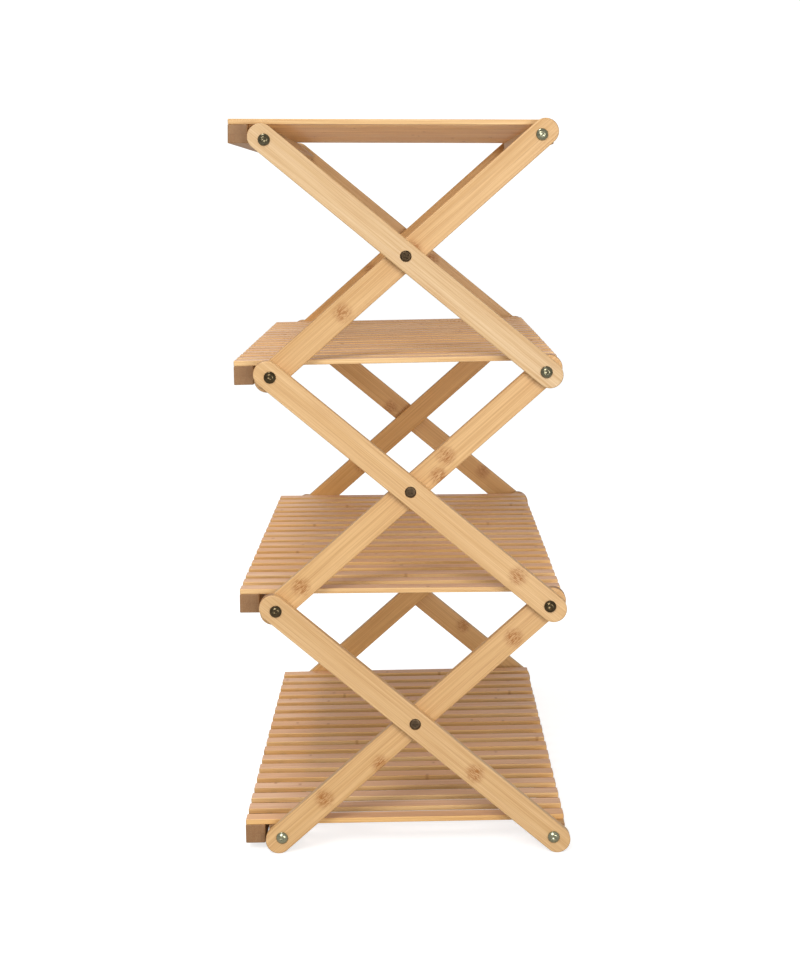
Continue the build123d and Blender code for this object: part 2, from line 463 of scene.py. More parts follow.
@dataclass(frozen=True)
class BambooLamination:
    """The pattern of laminated bamboo: strips, fibres, glue lines and stray joints."""

    fibre_width: float = 0.00055
    fibre_stretch: float = 14.0
    fibre_share: float = 0.42
    fibre_brown: Colour = (0.44, 0.215, 0.07, 1.0)
    strip_share: float = 0.3
    strip_shift: float = 3.0
    board_shift: float = 7.31
    board_seed: float = 91.0
    streak_width: float = 0.0013
    streak_stretch: float = 9.0
    streak_share: float = 0.46
    band_width: float = 0.0042
    band_stretch: float = 4.0
    band_share: float = 0.24
    line_width: float = 0.00035
    line_share: float = 0.26
    line_brown: Colour = (0.3, 0.14, 0.05, 1.0)
    line_dip: float = 0.6
    joint_spacing: float = 0.21
    joint_rarity: float = 0.62
    joint_share: float = 0.55
    joint_ragged: float = 0.006
    joint_brown: Colour = (0.36, 0.15, 0.04, 1.0)
    smoothest: float = 0.36
    rougher: float = 0.16

    def build(self) -> bpy.types.NodeTree:
        """Makes the group.

        Returns:
            Its tree, which puts out a colour, a roughness and a height.
        """
        graph, given, result = group_tree(
            "bamboo lamination",
            {"Grain": (0.0, 0.0, 0.0), "Board": 0.0, "Pale": (0.8, 0.6, 0.3, 1.0),
             "Deep": (0.6, 0.4, 0.2, 1.0), "Strip Width": 0.0075, "Layer Depth": 1.0,
             "Layer Shift": 0.5, "Joints": 1.0},
            {"Color": "NodeSocketColor", "Roughness": "NodeSocketFloat",
             "Height": "NodeSocketFloat"})
        read = given.outputs
        split = graph.add("SeparateXYZ", {0: read["Grain"]}).outputs
        along, across, deep = split[0], split[1], split[2]
        offset = graph.math("MULTIPLY", read["Board"], self.board_shift)
        strip = graph.math("ADD", graph.math("DIVIDE", across, read["Strip Width"]), offset)
        layer = graph.math("ADD", graph.math("DIVIDE", deep, read["Layer Depth"]),
                           read["Layer Shift"])
        cell = graph.vector(graph.math("FLOOR", strip), graph.math("FLOOR", layer),
                            graph.math("MULTIPLY", read["Board"], self.board_seed))
        chance = graph.add("TexWhiteNoise", {"Vector": cell}, noise_dimensions="3D")
        draws = graph.add("SeparateColor", {0: chance.outputs["Color"]}).outputs
        shifted = graph.math("MULTIPLY_ADD", draws[0], self.strip_shift, along)

        def streaks(width: float, stretch: float, detail: float) -> bpy.types.NodeSocket:
            """Noise of a width, drawn out along the board."""
            return graph.noise(graph.vector(
                graph.math("MULTIPLY", shifted, stretch),
                graph.math("DIVIDE", across, width),
                graph.math("DIVIDE", deep, width)), detail)

        fibres = streaks(self.fibre_width, self.fibre_stretch, 3.0)
        streaky = graph.fade(streaks(self.streak_width, self.streak_stretch, 2.0), 0.32, 0.7)
        bands = graph.fade(streaks(self.band_width, self.band_stretch, 1.0), 0.3, 0.7)
        tone = graph.math("ADD", graph.math("MULTIPLY", draws[1], self.strip_share),
                          graph.math("MULTIPLY", streaky, self.streak_share))
        tone = graph.math("ADD", tone, graph.math("MULTIPLY", bands, self.band_share))
        colour = graph.mix(tone, read["Pale"], read["Deep"])
        dark = graph.math("MULTIPLY", graph.fade(fibres, 0.5, 0.64), self.fibre_share)
        colour = graph.mix(dark, colour, self.fibre_brown)

        strip_part, layer_part = graph.math("FRACT", strip), graph.math("FRACT", layer)
        to_line = graph.math("MULTIPLY", read["Strip Width"], graph.math(
            "MINIMUM", strip_part, graph.math("SUBTRACT", 1.0, strip_part)))
        to_seam = graph.math("MULTIPLY", read["Layer Depth"], graph.math(
            "MINIMUM", layer_part, graph.math("SUBTRACT", 1.0, layer_part)))
        line = graph.math("SUBTRACT", 1.0, graph.fade(
            graph.math("MINIMUM", to_line, to_seam), 0.0, self.line_width))
        colour = graph.mix(graph.math("MULTIPLY", line, self.line_share), colour,
                           self.line_brown)

        run = graph.math("FRACT", graph.math("DIVIDE", shifted, self.joint_spacing))
        away = graph.math("MULTIPLY", self.joint_spacing,
                          graph.math("ABSOLUTE", graph.math("SUBTRACT", run, 0.5)))
        ragged = graph.math("MULTIPLY_ADD", fibres, self.joint_ragged,
                            graph.math("SUBTRACT", away, self.joint_ragged / 2))
        joint = graph.math("SUBTRACT", 1.0, graph.fade(ragged, 0.0004, 0.0026))
        joint = graph.math("MULTIPLY", joint, graph.math(
            "GREATER_THAN", draws[2], self.joint_rarity))
        joint = graph.math("MULTIPLY", joint, graph.math(
            "MULTIPLY", read["Joints"], self.joint_share))
        colour = graph.mix(joint, colour, self.joint_brown)

        rough = graph.math("MULTIPLY_ADD", fibres, self.rougher, self.smoothest)
        height = graph.math("SUBTRACT", fibres, graph.math("MULTIPLY", line, self.line_dip))
        graph.feed(result.inputs["Color"], colour)
        graph.feed(result.inputs["Roughness"], rough)
        graph.feed(result.inputs["Height"], height)
        return graph.tree


@dataclass(frozen=True)
class EndGrain:
    """The darker, dotted look of bamboo that is cut across."""

    dots_per_metre: float = 1500.0
    dot_share: float = 0.45
    dot_brown: Colour = (0.13, 0.06, 0.03, 1.0)

    def build(self) -> bpy.types.NodeTree:
        """Makes the group.

        Returns:
            Its tree, which puts out a colour.
        """
        graph, given, result = group_tree(
            "bamboo end grain",
            {"Color": (0.8, 0.6, 0.3, 1.0), "Grain": (0.0, 0.0, 0.0), "End": 0.0,
             "Tint": (0.5, 0.35, 0.3, 1.0)},
            {"Color": "NodeSocketColor"})
        read = given.outputs
        split = graph.add("SeparateXYZ", {0: read["Grain"]}).outputs
        flat = graph.vector(0.0, graph.math("MULTIPLY", split[1], self.dots_per_metre),
                            graph.math("MULTIPLY", split[2], self.dots_per_metre))
        dots = graph.fade(graph.noise(flat, 1.0), 0.5, 0.66)
        ends = graph.fade(read["End"], 0.35, 0.85)
        tinted = graph.mix(1.0, read["Color"], read["Tint"], "MULTIPLY")
        dotted = graph.mix(graph.math("MULTIPLY", dots, self.dot_share), tinted, self.dot_brown)
        graph.feed(result.inputs["Color"], graph.mix(ends, read["Color"], dotted))
        return graph.tree


@dataclass(frozen=True)
class Knuckle:
    """One brown, speckled joint of the cane, at a chosen place on a board."""

    half_length: float = 0.0115
    half_width: float = 0.0120
    speckle: tuple[float, float, float] = (240.0, 1350.0, 300.0)
    speckle_share: float = 0.72
    stain_share: float = 0.28
    brown: Colour = (0.34, 0.125, 0.022, 1.0)

    def build(self) -> bpy.types.NodeTree:
        """Makes the group.

        Returns:
            Its tree, which puts out a colour.
        """
        graph, given, result = group_tree(
            "bamboo knuckle",
            {"Color": (0.8, 0.6, 0.3, 1.0), "Grain": (0.0, 0.0, 0.0),
             "Place": (0.0, 0.0, 0.0)},
            {"Color": "NodeSocketColor"})
        read = given.outputs
        away = graph.scale(graph.add("VectorMath", {0: read["Grain"], 1: read["Place"]},
                                     operation="SUBTRACT").outputs[0],
                           (self.half_length, self.half_width, 1.0), "DIVIDE")
        split = graph.add("SeparateXYZ", {0: away}).outputs
        reach = graph.add("VectorMath", {0: graph.vector(split[0], split[1], 0.0)},
                          operation="LENGTH").outputs["Value"]
        brush = graph.fade(graph.noise(graph.scale(read["Grain"], self.speckle)), 0.45, 0.56)
        stain = graph.math("SUBTRACT", 1.0, graph.fade(reach, 0.2, 1.15))
        amount = graph.math("MULTIPLY", stain, graph.math(
            "MULTIPLY_ADD", brush, self.speckle_share, self.stain_share))
        graph.feed(result.inputs["Color"], graph.mix(amount, read["Color"], self.brown))
        return graph.tree


@dataclass(frozen=True)
class MetalWear:
    """How a plated finish varies from piece to piece and over its face."""

    tarnish_grain: tuple[float, float, float] = (420.0, 420.0, 420.0)
    tarnish_share: float = 0.5
    scratch_grain: tuple[float, float, float] = (5200.0, 900.0, 2400.0)
    rougher: float = 0.24
    smoother: float = -0.1

    def build(self) -> bpy.types.NodeTree:
        """Makes the group.

        Returns:
            Its tree, which puts out a colour, a roughness and a height.
        """
        graph, given, result = group_tree(
            "plated metal wear",
            {"Color": (0.5, 0.5, 0.5, 1.0), "Other": (0.4, 0.4, 0.3, 1.0), "Board": 0.0,
             "Roughness": 0.3},
            {"Color": "NodeSocketColor", "Roughness": "NodeSocketFloat",
             "Height": "NodeSocketFloat"})
        read = given.outputs
        where = graph.add("TexCoord").outputs["Object"]
        tarnish = graph.noise(graph.scale(where, self.tarnish_grain), 3.0)
        scratches = graph.noise(graph.scale(where, self.scratch_grain))
        share = graph.math("ADD", read["Board"], graph.math(
            "MULTIPLY_ADD", tarnish, self.tarnish_share, -self.tarnish_share / 2))
        colour = graph.mix(graph.fade(share, 0.0, 1.0), read["Color"], read["Other"])
        rough = graph.math("ADD", read["Roughness"], graph.math(
            "MULTIPLY_ADD", tarnish, self.rougher, self.smoother))
        graph.feed(result.inputs["Color"], colour)
        graph.feed(result.inputs["Roughness"], rough)
        graph.feed(result.inputs["Height"], scratches)
        return graph.tree


@dataclass
class ShaderShop:
    """The node groups, each made once and shared by the materials."""

    lamination: bpy.types.NodeTree = field(default_factory=BambooLamination().build)
    end_grain: bpy.types.NodeTree = field(default_factory=EndGrain().build)
    knuckle: bpy.types.NodeTree = field(default_factory=Knuckle().build)
    metal_wear: bpy.types.NodeTree = field(default_factory=MetalWear().build)


def start_material(name: str) -> tuple[bpy.types.Material, Graph, bpy.types.Node]:
    """Starts a material.

    Args:
        name: Its name.

    Returns:
        The material, its graph and its Principled shader.
    """
    material = bpy.data.materials.new(name)
    material.use_nodes = True
    return material, Graph(material.node_tree), material.node_tree.nodes["Principled BSDF"]


@dataclass(frozen=True)
class BambooFinish:
    """Lacquered laminated bamboo."""

    name: str
    pale: Colour
    deep: Colour
    strip_width: float
    layer_depth: float = 1.0
    layer_shift: float = 0.5
    end_tint: Colour = (0.5, 0.4, 0.4, 1.0)
    joints: float = 1.0
    other_pale: Colour | None = None
    # Painted light: one tint for the middle of a board's face and one for its long edges, standing in for how
    # light falls on them.
    face_painted_light_tint: Colour = (1.0, 1.0, 1.0, 1.0)
    edge_painted_light_tint: Colour = (1.0, 1.0, 1.0, 1.0)
    half_width: float = 1.0
    edge_start: float = 0.0011
    edge_stop: float = 0.0003
    knuckles: tuple[tuple[float, float], ...] = ()
    bump_strength: float = 0.35
    bump_distance: float = 0.00012
    specular: float = 0.42
    lacquer: float = 0.12
    lacquer_roughness: float = 0.3

    def build(self, shop: ShaderShop) -> bpy.types.Material:
        """Makes the material.

        Args:
            shop: The shared node groups.

        Returns:
            The material.
        """
        material, graph, shader = start_material(self.name)
        grain = graph.add("Attribute", attribute_name="grain").outputs["Vector"]
        board = graph.add("Attribute", attribute_name="board").outputs["Fac"]
        ends = graph.add("Attribute", attribute_name="end_grain").outputs["Fac"]
        pale = graph.mix(board, self.pale, self.other_pale) if self.other_pale else self.pale
        wood = graph.add("Group", node_tree=shop.lamination)
        for label, value in {"Grain": grain, "Board": board, "Pale": pale,
                             "Deep": self.deep, "Strip Width": self.strip_width,
                             "Layer Depth": self.layer_depth, "Layer Shift": self.layer_shift,
                             "Joints": self.joints}.items():
            graph.feed(wood.inputs[label], value)
        # Painted light: a board is tinted one way across its face and another way near its long edges, in place of
        # the light and shade there.
        across = graph.math("ABSOLUTE", graph.add("SeparateXYZ", {0: grain}).outputs[1])
        side = graph.fade(across, self.half_width - self.edge_start,
                          self.half_width - self.edge_stop)
        painted_light_tint = graph.mix(side, self.face_painted_light_tint, self.edge_painted_light_tint)
        colour = graph.mix(1.0, wood.outputs["Color"], painted_light_tint, "MULTIPLY")
        for x, y in self.knuckles:
            spot = graph.add("Group", node_tree=shop.knuckle)
            graph.feed(spot.inputs["Color"], colour)
            graph.feed(spot.inputs["Grain"], grain)
            graph.feed(spot.inputs["Place"], (x, y, 0.0))
            colour = spot.outputs["Color"]
        cut = graph.add("Group", node_tree=shop.end_grain)
        for label, value in {"Color": colour, "Grain": grain, "End": ends,
                             "Tint": self.end_tint}.items():
            graph.feed(cut.inputs[label], value)
        bump = graph.add("Bump", {"Height": wood.outputs["Height"],
                                  "Strength": self.bump_strength,
                                  "Distance": self.bump_distance})
        graph.feed(shader.inputs["Base Color"], cut.outputs["Color"])
        graph.feed(shader.inputs["Roughness"], wood.outputs["Roughness"])
        graph.feed(shader.inputs["Normal"], bump.outputs["Normal"])
        graph.feed(shader.inputs["Specular IOR Level"], self.specular)
        graph.feed(shader.inputs["Coat Weight"], self.lacquer)
        graph.feed(shader.inputs["Coat Roughness"], self.lacquer_roughness)
        return material


@dataclass(frozen=True)
class MetalFinish:
    """A plated or turned metal."""

    name: str
    colour: Colour
    other: Colour
    roughness: float
    bump_strength: float = 0.15
    bump_distance: float = 0.00005

    def build(self, shop: ShaderShop) -> bpy.types.Material:
        """Makes the material.

        Args:
            shop: The shared node groups.

        Returns:
            The material.
        """
        material, graph, shader = start_material(self.name)
        board = graph.add("Attribute", attribute_name="board").outputs["Fac"]
        wear = graph.add("Group", node_tree=shop.metal_wear)
        for label, value in {"Color": self.colour, "Other": self.other, "Board": board,
                             "Roughness": self.roughness}.items():
            graph.feed(wear.inputs[label], value)
        bump = graph.add("Bump", {"Height": wear.outputs["Height"],
                                  "Strength": self.bump_strength,
                                  "Distance": self.bump_distance})
        graph.feed(shader.inputs["Metallic"], 1.0)
        graph.feed(shader.inputs["Base Color"], wear.outputs["Color"])
        graph.feed(shader.inputs["Roughness"], wear.outputs["Roughness"])
        graph.feed(shader.inputs["Normal"], bump.outputs["Normal"])
        return material


# Arms -------------------------------------------------------------------------------------
@dataclass
class ScissorArms:
    """The flat arms of both ends: inner ones that rise to the right, outer ones that fall."""

    places: Places
    shop: ShaderShop
    width: float = 0.0265
    end_setback: float = 0.00475
    edge: float = 0.0012
    edge_steps: int = 4
    hole_edge: float = 0.0003
    bolt_bore: float = 0.00308
    sleeve_bore: float = 0.00408
    pocket: float = 0.00565
    pocket_depth: float = 0.003
    sleeve_wall: float = 0.003
    cream: tuple[Colour, Colour] = ((0.72, 0.515, 0.295, 1.0), (0.555, 0.34, 0.145, 1.0))
    honey: tuple[Colour, Colour] = ((0.715, 0.445, 0.195, 1.0), (0.525, 0.275, 0.085, 1.0))
    warmth: dict[str, float] = field(default_factory=lambda: {
        "upper_outer": 0.0, "upper_inner": 0.8, "middle_outer": 0.65, "middle_inner": 0.9,
        "lower_outer": 0.5, "lower_inner": 0.75})
    # Painted shade: the rear arms are made deeper and darker than the front ones, in place of the shade that falls
    # on them.
    rear_painted_shade: float = 0.6
    end_tint: Colour = (0.66, 0.54, 0.46, 1.0)
    strip_width: float = 0.0078
    knuckles: dict[str, tuple[tuple[float, float], ...]] = field(default_factory=lambda: {
        "upper_inner_front": ((-0.0844, -0.0006), (0.0092, -0.0003)),
        "middle_inner_front": ((0.0495, 0.0023), (0.0308, -0.0081), (-0.1469, 0.0004)),
        "middle_outer_front": ((0.1362, 0.0032),),
        "lower_inner_front": ((0.1309, -0.002), (-0.0551, -0.0104), (-0.1215, 0.0015)),
        "lower_outer_front": ((0.0781, -0.0003),),
        "upper_inner_rear": ((0.06, 0.004), (-0.11, -0.005)),
        "upper_outer_rear": ((-0.04, 0.003),),
        "middle_inner_rear": ((0.09, -0.004),),
        "middle_outer_rear": ((-0.12, 0.006), (0.03, -0.006)),
        "lower_inner_rear": ((-0.02, 0.005),),
        "lower_outer_rear": ((0.11, -0.003), (-0.08, 0.007)),
    })

    def cut(self, thickness: float, slope: Slope) -> bmesh.types.BMesh:
        """One arm in its own frame: X along it, Y across it, Z out of the rack.

        Args:
            thickness: Inside face at Z 0 to outside face.
            slope: Falling arms have a pocket outside; the rising arms' bore is blind.

        Returns:
            The solid.
        """
        bm = bmesh.new()
        half = self.places.arm_length / 2
        steps = []
        for number in range(self.edge_steps + 1):
            angle = math.pi / 2 * number / self.edge_steps
            steps.append((self.width / 2 - self.edge * (1 - math.sin(angle)),
                          self.edge * (1 - math.cos(angle))))
        steps += [(radius, thickness - height) for radius, height in reversed(steps)]
        rims = tube(bm, steps, stretch=half + self.end_setback, points=RIM_POINTS)
        inside_holes, outside_holes = [], []
        for side in (-1, 1):
            low, high = tube(bm, [(self.bolt_bore, 0.0), (self.bolt_bore, thickness)],
                             at=(side * half, 0.0))
            inside_holes.append(low)
            outside_holes.append(high)
        if slope is Slope.FALLING:
            floor = thickness - self.pocket_depth
            mouth, far = tube(bm, [(self.pocket + self.hole_edge, thickness),
                                   (self.pocket, thickness - self.hole_edge),
                                   (self.pocket, floor), (self.sleeve_bore, floor),
                                   (self.sleeve_bore, 0.0)])
            inside_holes.append(far)
        else:
            mouth, far = tube(bm, [(self.sleeve_bore, thickness),
                                   (self.sleeve_bore, self.sleeve_wall)])
            cap(bm, far)
        outside_holes.append(mouth)
        cap(bm, rims[0], *inside_holes)
        cap(bm, rims[1], *outside_holes)
        bmesh.ops.recalc_face_normals(bm, faces=bm.faces)
        return bm

    def tones(self, share: float) -> list[Colour]:
        """The pale and the deep colour of an arm, from cream at 0 to honey at 1."""
        return [tuple(a + (b - a) * share for a, b in zip(cream, honey))
                for cream, honey in zip(self.cream, self.honey)]

    def build(self) -> None:
        """Makes and dresses every arm."""
        numbers = random.Random(11)
        for stage, stage_name in STAGES.items():
            for slope, kind in ((Slope.RISING, "inner"), (Slope.FALLING, "outer")):
                for end in End:
                    side = end.name.lower()
                    node = f"{stage_name}_{kind}_arm_{side}"
                    low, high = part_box(node)
                    inside = high.y if end is End.FRONT else low.y
                    centre = Vector((self.places.middle_x, inside, self.places.crossing_z(stage)))
                    solid = self.cut(high.y - low.y, slope)
                    mark_grain(solid, 0, numbers.random())
                    frame_at = upright(centre, slope.value * self.places.arm_angle, end)
                    share = self.warmth[f"{stage_name}_{kind}"]
                    # Rear arms get the painted shade added to their own tone.
                    pale, deep = self.tones(share + self.rear_painted_shade * (end is End.REAR))
                    finish = BambooFinish(
                        f"bamboo arm {stage_name} {kind} {side}", pale, deep,
                        self.strip_width, end_tint=self.end_tint, joints=0.0,
                        knuckles=self.knuckles.get(f"{stage_name}_{kind}_{side}", ()))
                    make_piece(f"arm_{stage_name}_{kind}_{side}", [place(solid, frame_at)],
                               finish.build(self.shop), f"{stage_name}_{kind}_arms", node)


# Shelves and rest bars --------------------------------------------------------------------
def beam(width: float, height: float, length: float, edge: float,
         bore_at: tuple[float, float] | None) -> bmesh.types.BMesh:
    """A stick along Z with eased edges, bored at both ends for threaded inserts.

    Args:
        width: Its size along X.
        height: Its size along Y.
        length: Its size along Z.
        edge: How far its edges are eased.
        bore_at: X and Y of the bores, or None for a plain stick.

    Returns:
        The solid.
    """
    bm = block(width, height, length, edge)
    if bore_at is None:
        return bm
    for side in (-1, 1):
        end = side * length / 2
        face = max(bm.faces, key=lambda f: side * f.calc_center_median().z)
        rim = list(face.edges)
        bmesh.ops.delete(bm, geom=[face], context="FACES_ONLY")
        mouth, floor = tube(bm, [(INSERT_RADIUS, end),
                                 (INSERT_RADIUS, end - side * INSERT_DEPTH),
                                 (TIP_RADIUS, end - side * INSERT_DEPTH),
                                 (TIP_RADIUS, end - side * TIP_DEPTH)], bore_at)
        cap(bm, floor)
        cap(bm, rim, mouth)
    bmesh.ops.recalc_face_normals(bm, faces=bm.faces)
    return bm


@dataclass
class SlattedShelves:
    """The shelves: slats across a hinge rail on the right and a hook rail on the left."""

    places: Places
    shop: ShaderShop
    slat_count: int = 18
    slat_width: float = 0.020
    slat_thickness: float = 0.0054
    slat_pitch: float = 0.0366
    slat_edge: float = 0.0009
    end_play: float = 0.0004
    rail_width: float = 0.020
    rail_height: float = 0.019
    rail_edge: float = 0.001
    seat: float = 0.0098
    left_overhang: float = 0.038
    right_overhang: float = 0.0124
    front_slats: dict[int, float] = field(default_factory=lambda: {
        1: 0.98, 2: 0.93, 3: 0.86, 4: 0.1})

    def shelf_frame(self, row: int) -> Matrix:
        """A shelf's frame: at its hinge, X across the rack, Y along it, Z out of its top."""
        hinge = Vector((self.places.right_x, 0.0, self.places.row_z[row]))
        return Matrix.Translation(hinge) @ Matrix.Rotation(self.places.shelf_tilt[row], 4, "Y")

    def slats(self, row: int, numbers: random.Random) -> list[bmesh.types.BMesh]:
        """Makes the slats of one shelf, each with its own grain and a hair of play at its ends.

        Args:
            row: The shelf's row.
            numbers: Where its random numbers come from.

        Returns:
            The slats, in their places.
        """
        span = self.places.right_x - self.places.left_x
        low_x, high_x = -span - self.left_overhang, self.right_overhang
        made = []
        for number in range(self.slat_count):
            near, far = (high - numbers.random() * self.end_play for high in (high_x, -low_x))
            bm = block(near + far, self.slat_width, self.slat_thickness, self.slat_edge)
            draw = numbers.random()
            mark_grain(bm, 0, self.front_slats[row] if number == 0 else draw)
            y = (number - (self.slat_count - 1) / 2) * self.slat_pitch
            centre = Vector(((near - far) / 2, y, self.seat + self.slat_thickness / 2))
            made.append(place(bm, self.shelf_frame(row) @ Matrix.Translation(centre)))
        return made

    def rail(self, row: int, node: str, centre_x: float, bore: bool,
             number: float) -> bmesh.types.BMesh:
        """Makes one rail, as long as its node.

        Args:
            row: The shelf's row.
            node: The rail's node.
            centre_x: Where it lies in the shelf's frame.
            bore: Whether its ends are bored for the pivot bolts.
            number: A number from 0 to 1 that makes its pattern its own.

        Returns:
            The rail, in its place.
        """
        low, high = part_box(node)
        centre_z = self.seat - self.rail_height / 2
        bore_at = (-centre_x, -centre_z) if bore else None
        solid = beam(self.rail_width, self.rail_height, high.y - low.y, self.rail_edge, bore_at)
        mark_grain(solid, 2, number)
        stand = Matrix.Rotation(math.pi / 2, 4, "X")
        local = Matrix.Translation((centre_x, 0.0, centre_z)) @ stand
        return place(solid, self.shelf_frame(row) @ local)

    def build(self) -> None:
        """Makes and dresses every shelf."""
        numbers = random.Random(29)
        slat_finish = BambooFinish("bamboo slats", (0.80, 0.49, 0.215, 1.0),
                                   (0.59, 0.33, 0.14, 1.0), strip_width=0.0068,
                                   other_pale=(0.80, 0.57, 0.34, 1.0),
                                   end_tint=(0.62, 0.5, 0.44, 1.0),
                                   # Painted light: slat tops are tinted lighter and pinker, and their long edges
                                   # yellower, standing in for grazing light and reflection on the tops and frontal
                                   # light on the edges.
                                   face_painted_light_tint=(1.17, 1.12, 1.3, 1.0),
                                   edge_painted_light_tint=(1.04, 1.02, 0.86, 1.0),
                                   half_width=self.slat_width / 2).build(self.shop)
        rail_finish = BambooFinish("bamboo rails", (0.66, 0.43, 0.21, 1.0),
                                   (0.52, 0.29, 0.12, 1.0), strip_width=0.0068,
                                   layer_depth=self.rail_height / 2, layer_shift=0.0,
                                   end_tint=(0.52, 0.45, 0.4, 1.0)).build(self.shop)
        span = self.places.right_x - self.places.left_x
        hinge_x = self.right_overhang - self.rail_width / 2
        hook_x = self.rail_width / 2 - span - self.left_overhang
        for row in ROWS:
            body = f"shelf_{row}"
            make_piece(f"slats_of_shelf_{row}", self.slats(row, numbers), slat_finish, body,
                       f"shelf_{row}_slats")
            for name, x, bore in (("hinge", hinge_x, True), ("hook", hook_x, False)):
                node = f"shelf_{row}_{name}_rail"
                make_piece(f"{name}_rail_of_shelf_{row}",
                           [self.rail(row, node, x, bore, numbers.random())], rail_finish,
                           body, node)


@dataclass
class RestBars:
    """The bars between the left pivots, which carry the shelves' free sides."""

    places: Places
    shop: ShaderShop
    width: float = 0.028
    height: float = 0.019
    edge: float = 0.001
    third_bar_turn: float = math.radians(14)

    def build(self) -> None:
        """Makes and dresses every bar, each turned on its bolts as it has settled."""
        numbers = random.Random(5)
        finish = BambooFinish("bamboo rest bars", (0.68, 0.45, 0.22, 1.0),
                              (0.54, 0.31, 0.13, 1.0), strip_width=0.0074,
                              layer_depth=self.height / 2, layer_shift=0.0,
                              end_tint=(0.52, 0.45, 0.4, 1.0)).build(self.shop)
        bodies = {1: "upper_outer_arms", 2: "middle_outer_arms", 3: "lower_outer_arms",
                  4: "base_bar"}
        turns = {1: self.places.arm_angle, 2: 0.0, 3: self.third_bar_turn, 4: 0.0}
        for row in ROWS:
            node = f"rest_bar_{row}"
            low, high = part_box(node)
            solid = beam(self.width, self.height, high.y - low.y, self.edge, (0.0, 0.0))
            mark_grain(solid, 2, numbers.random())
            pivot = Vector((self.places.left_x, 0.0, self.places.row_z[row]))
            place(solid, upright(pivot, -turns[row], End.FRONT))
            make_piece(f"bar_of_row_{row}", [solid], finish, bodies[row], node)


# Fasteners --------------------------------------------------------------------------------
@dataclass
class PivotBolts:
    """Domed socket bolts at the end pivots."""

    places: Places
    shop: ShaderShop
    head_radius: float = 0.006
    head_height: float = 0.0036
    rim: float = 0.0009
    easing: float = 0.0002
    shank_radius: float = 0.003
    chamfer: float = 0.0005
    tip_gap: float = 0.0025
    hex_key: float = 0.004
    hex_depth: float = 0.002
    mouth_margin: float = 1.12
    socket_draft: float = 0.96
    drill_point: float = 0.0004
    dome_steps: int = 9
    turn_step: float = 0.3

    @property
    def ball(self) -> float:
        """Radius of the ball that the dome is a part of."""
        dome = self.head_height - self.rim
        return (self.head_radius ** 2 + dome ** 2) / (2 * dome)

    def bolt(self, shank_length: float) -> bmesh.types.BMesh:
        """Makes one bolt, its head above Z 0 and its shank below.

        Args:
            shank_length: From under the head to the tip.

        Returns:
            The solid.
        """
        ball = self.ball
        corner = self.hex_key / 2 / math.cos(math.pi / 6)
        start = math.asin(self.head_radius / ball)
        stop = math.asin(self.mouth_margin * corner / ball)
        centre = self.head_height - ball
        profile = [(self.shank_radius - self.chamfer, -shank_length),
                   (self.shank_radius, self.chamfer - shank_length), (self.shank_radius, 0.0),
                   (self.head_radius - self.easing, 0.0), (self.head_radius, self.easing),
                   (self.head_radius, self.rim - self.easing / 2)]
        for step in range(1, self.dome_steps + 1):
            angle = start + (stop - start) * step / self.dome_steps
            profile.append((ball * math.sin(angle), centre + ball * math.cos(angle)))
        mouth = profile[-1][1] - 0.4 * self.easing
        bottom = self.head_height - self.hex_depth
        inside = hexagon(self.socket_draft * self.hex_key)
        profile += [(hexagon(self.hex_key), mouth), (inside, mouth - self.easing),
                    (inside, bottom), (self.drill_point, bottom - self.drill_point)]
        return turned(profile)

    def build(self) -> None:
        """Makes and dresses the bolts of every pivot."""
        finish = MetalFinish("bronzed bolts", (0.085, 0.058, 0.028, 1.0),
                             (0.37, 0.37, 0.25, 1.0), 0.2).build(self.shop)
        tones = {"left": (0.3, 0.1, 0.15, 0.95), "right": (0.7, 0.45, 0.1, 0.95)}
        left_bodies = ("upper_outer_arms", "middle_outer_arms", "lower_outer_arms", "base_bar")
        for side, x in (("left", self.places.left_x), ("right", self.places.right_x)):
            for row in ROWS:
                node = f"{side}_pivot_{row}_bolts"
                head_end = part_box(node)[1].y
                body = left_bodies[row - 1] if side == "left" else f"shelf_{row}"
                insert_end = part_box(f"{side}_pivot_{row}_inserts")[1].y
                tip = insert_end - INSERT_DEPTH - self.tip_gap
                # The node's own box ends at the socket's rim, a hair below the dome's top.
                seat = head_end + self.dome_loss() - self.head_height
                solids = []
                for end in End:
                    at = Vector((x, end.value * seat, self.places.row_z[row]))
                    bolt = self.bolt(seat - tip)
                    mark_grain(bolt, 2, tones[side][row - 1])
                    solids.append(place(bolt, upright(at, self.turn_step * row, end)))
                make_piece(f"bolts_{side}_row_{row}", solids, finish, body, node)

    def dome_loss(self) -> float:
        """How far the dome has dropped where the socket's flats begin."""
        return self.ball - math.sqrt(self.ball ** 2 - (self.hex_key / 2) ** 2)


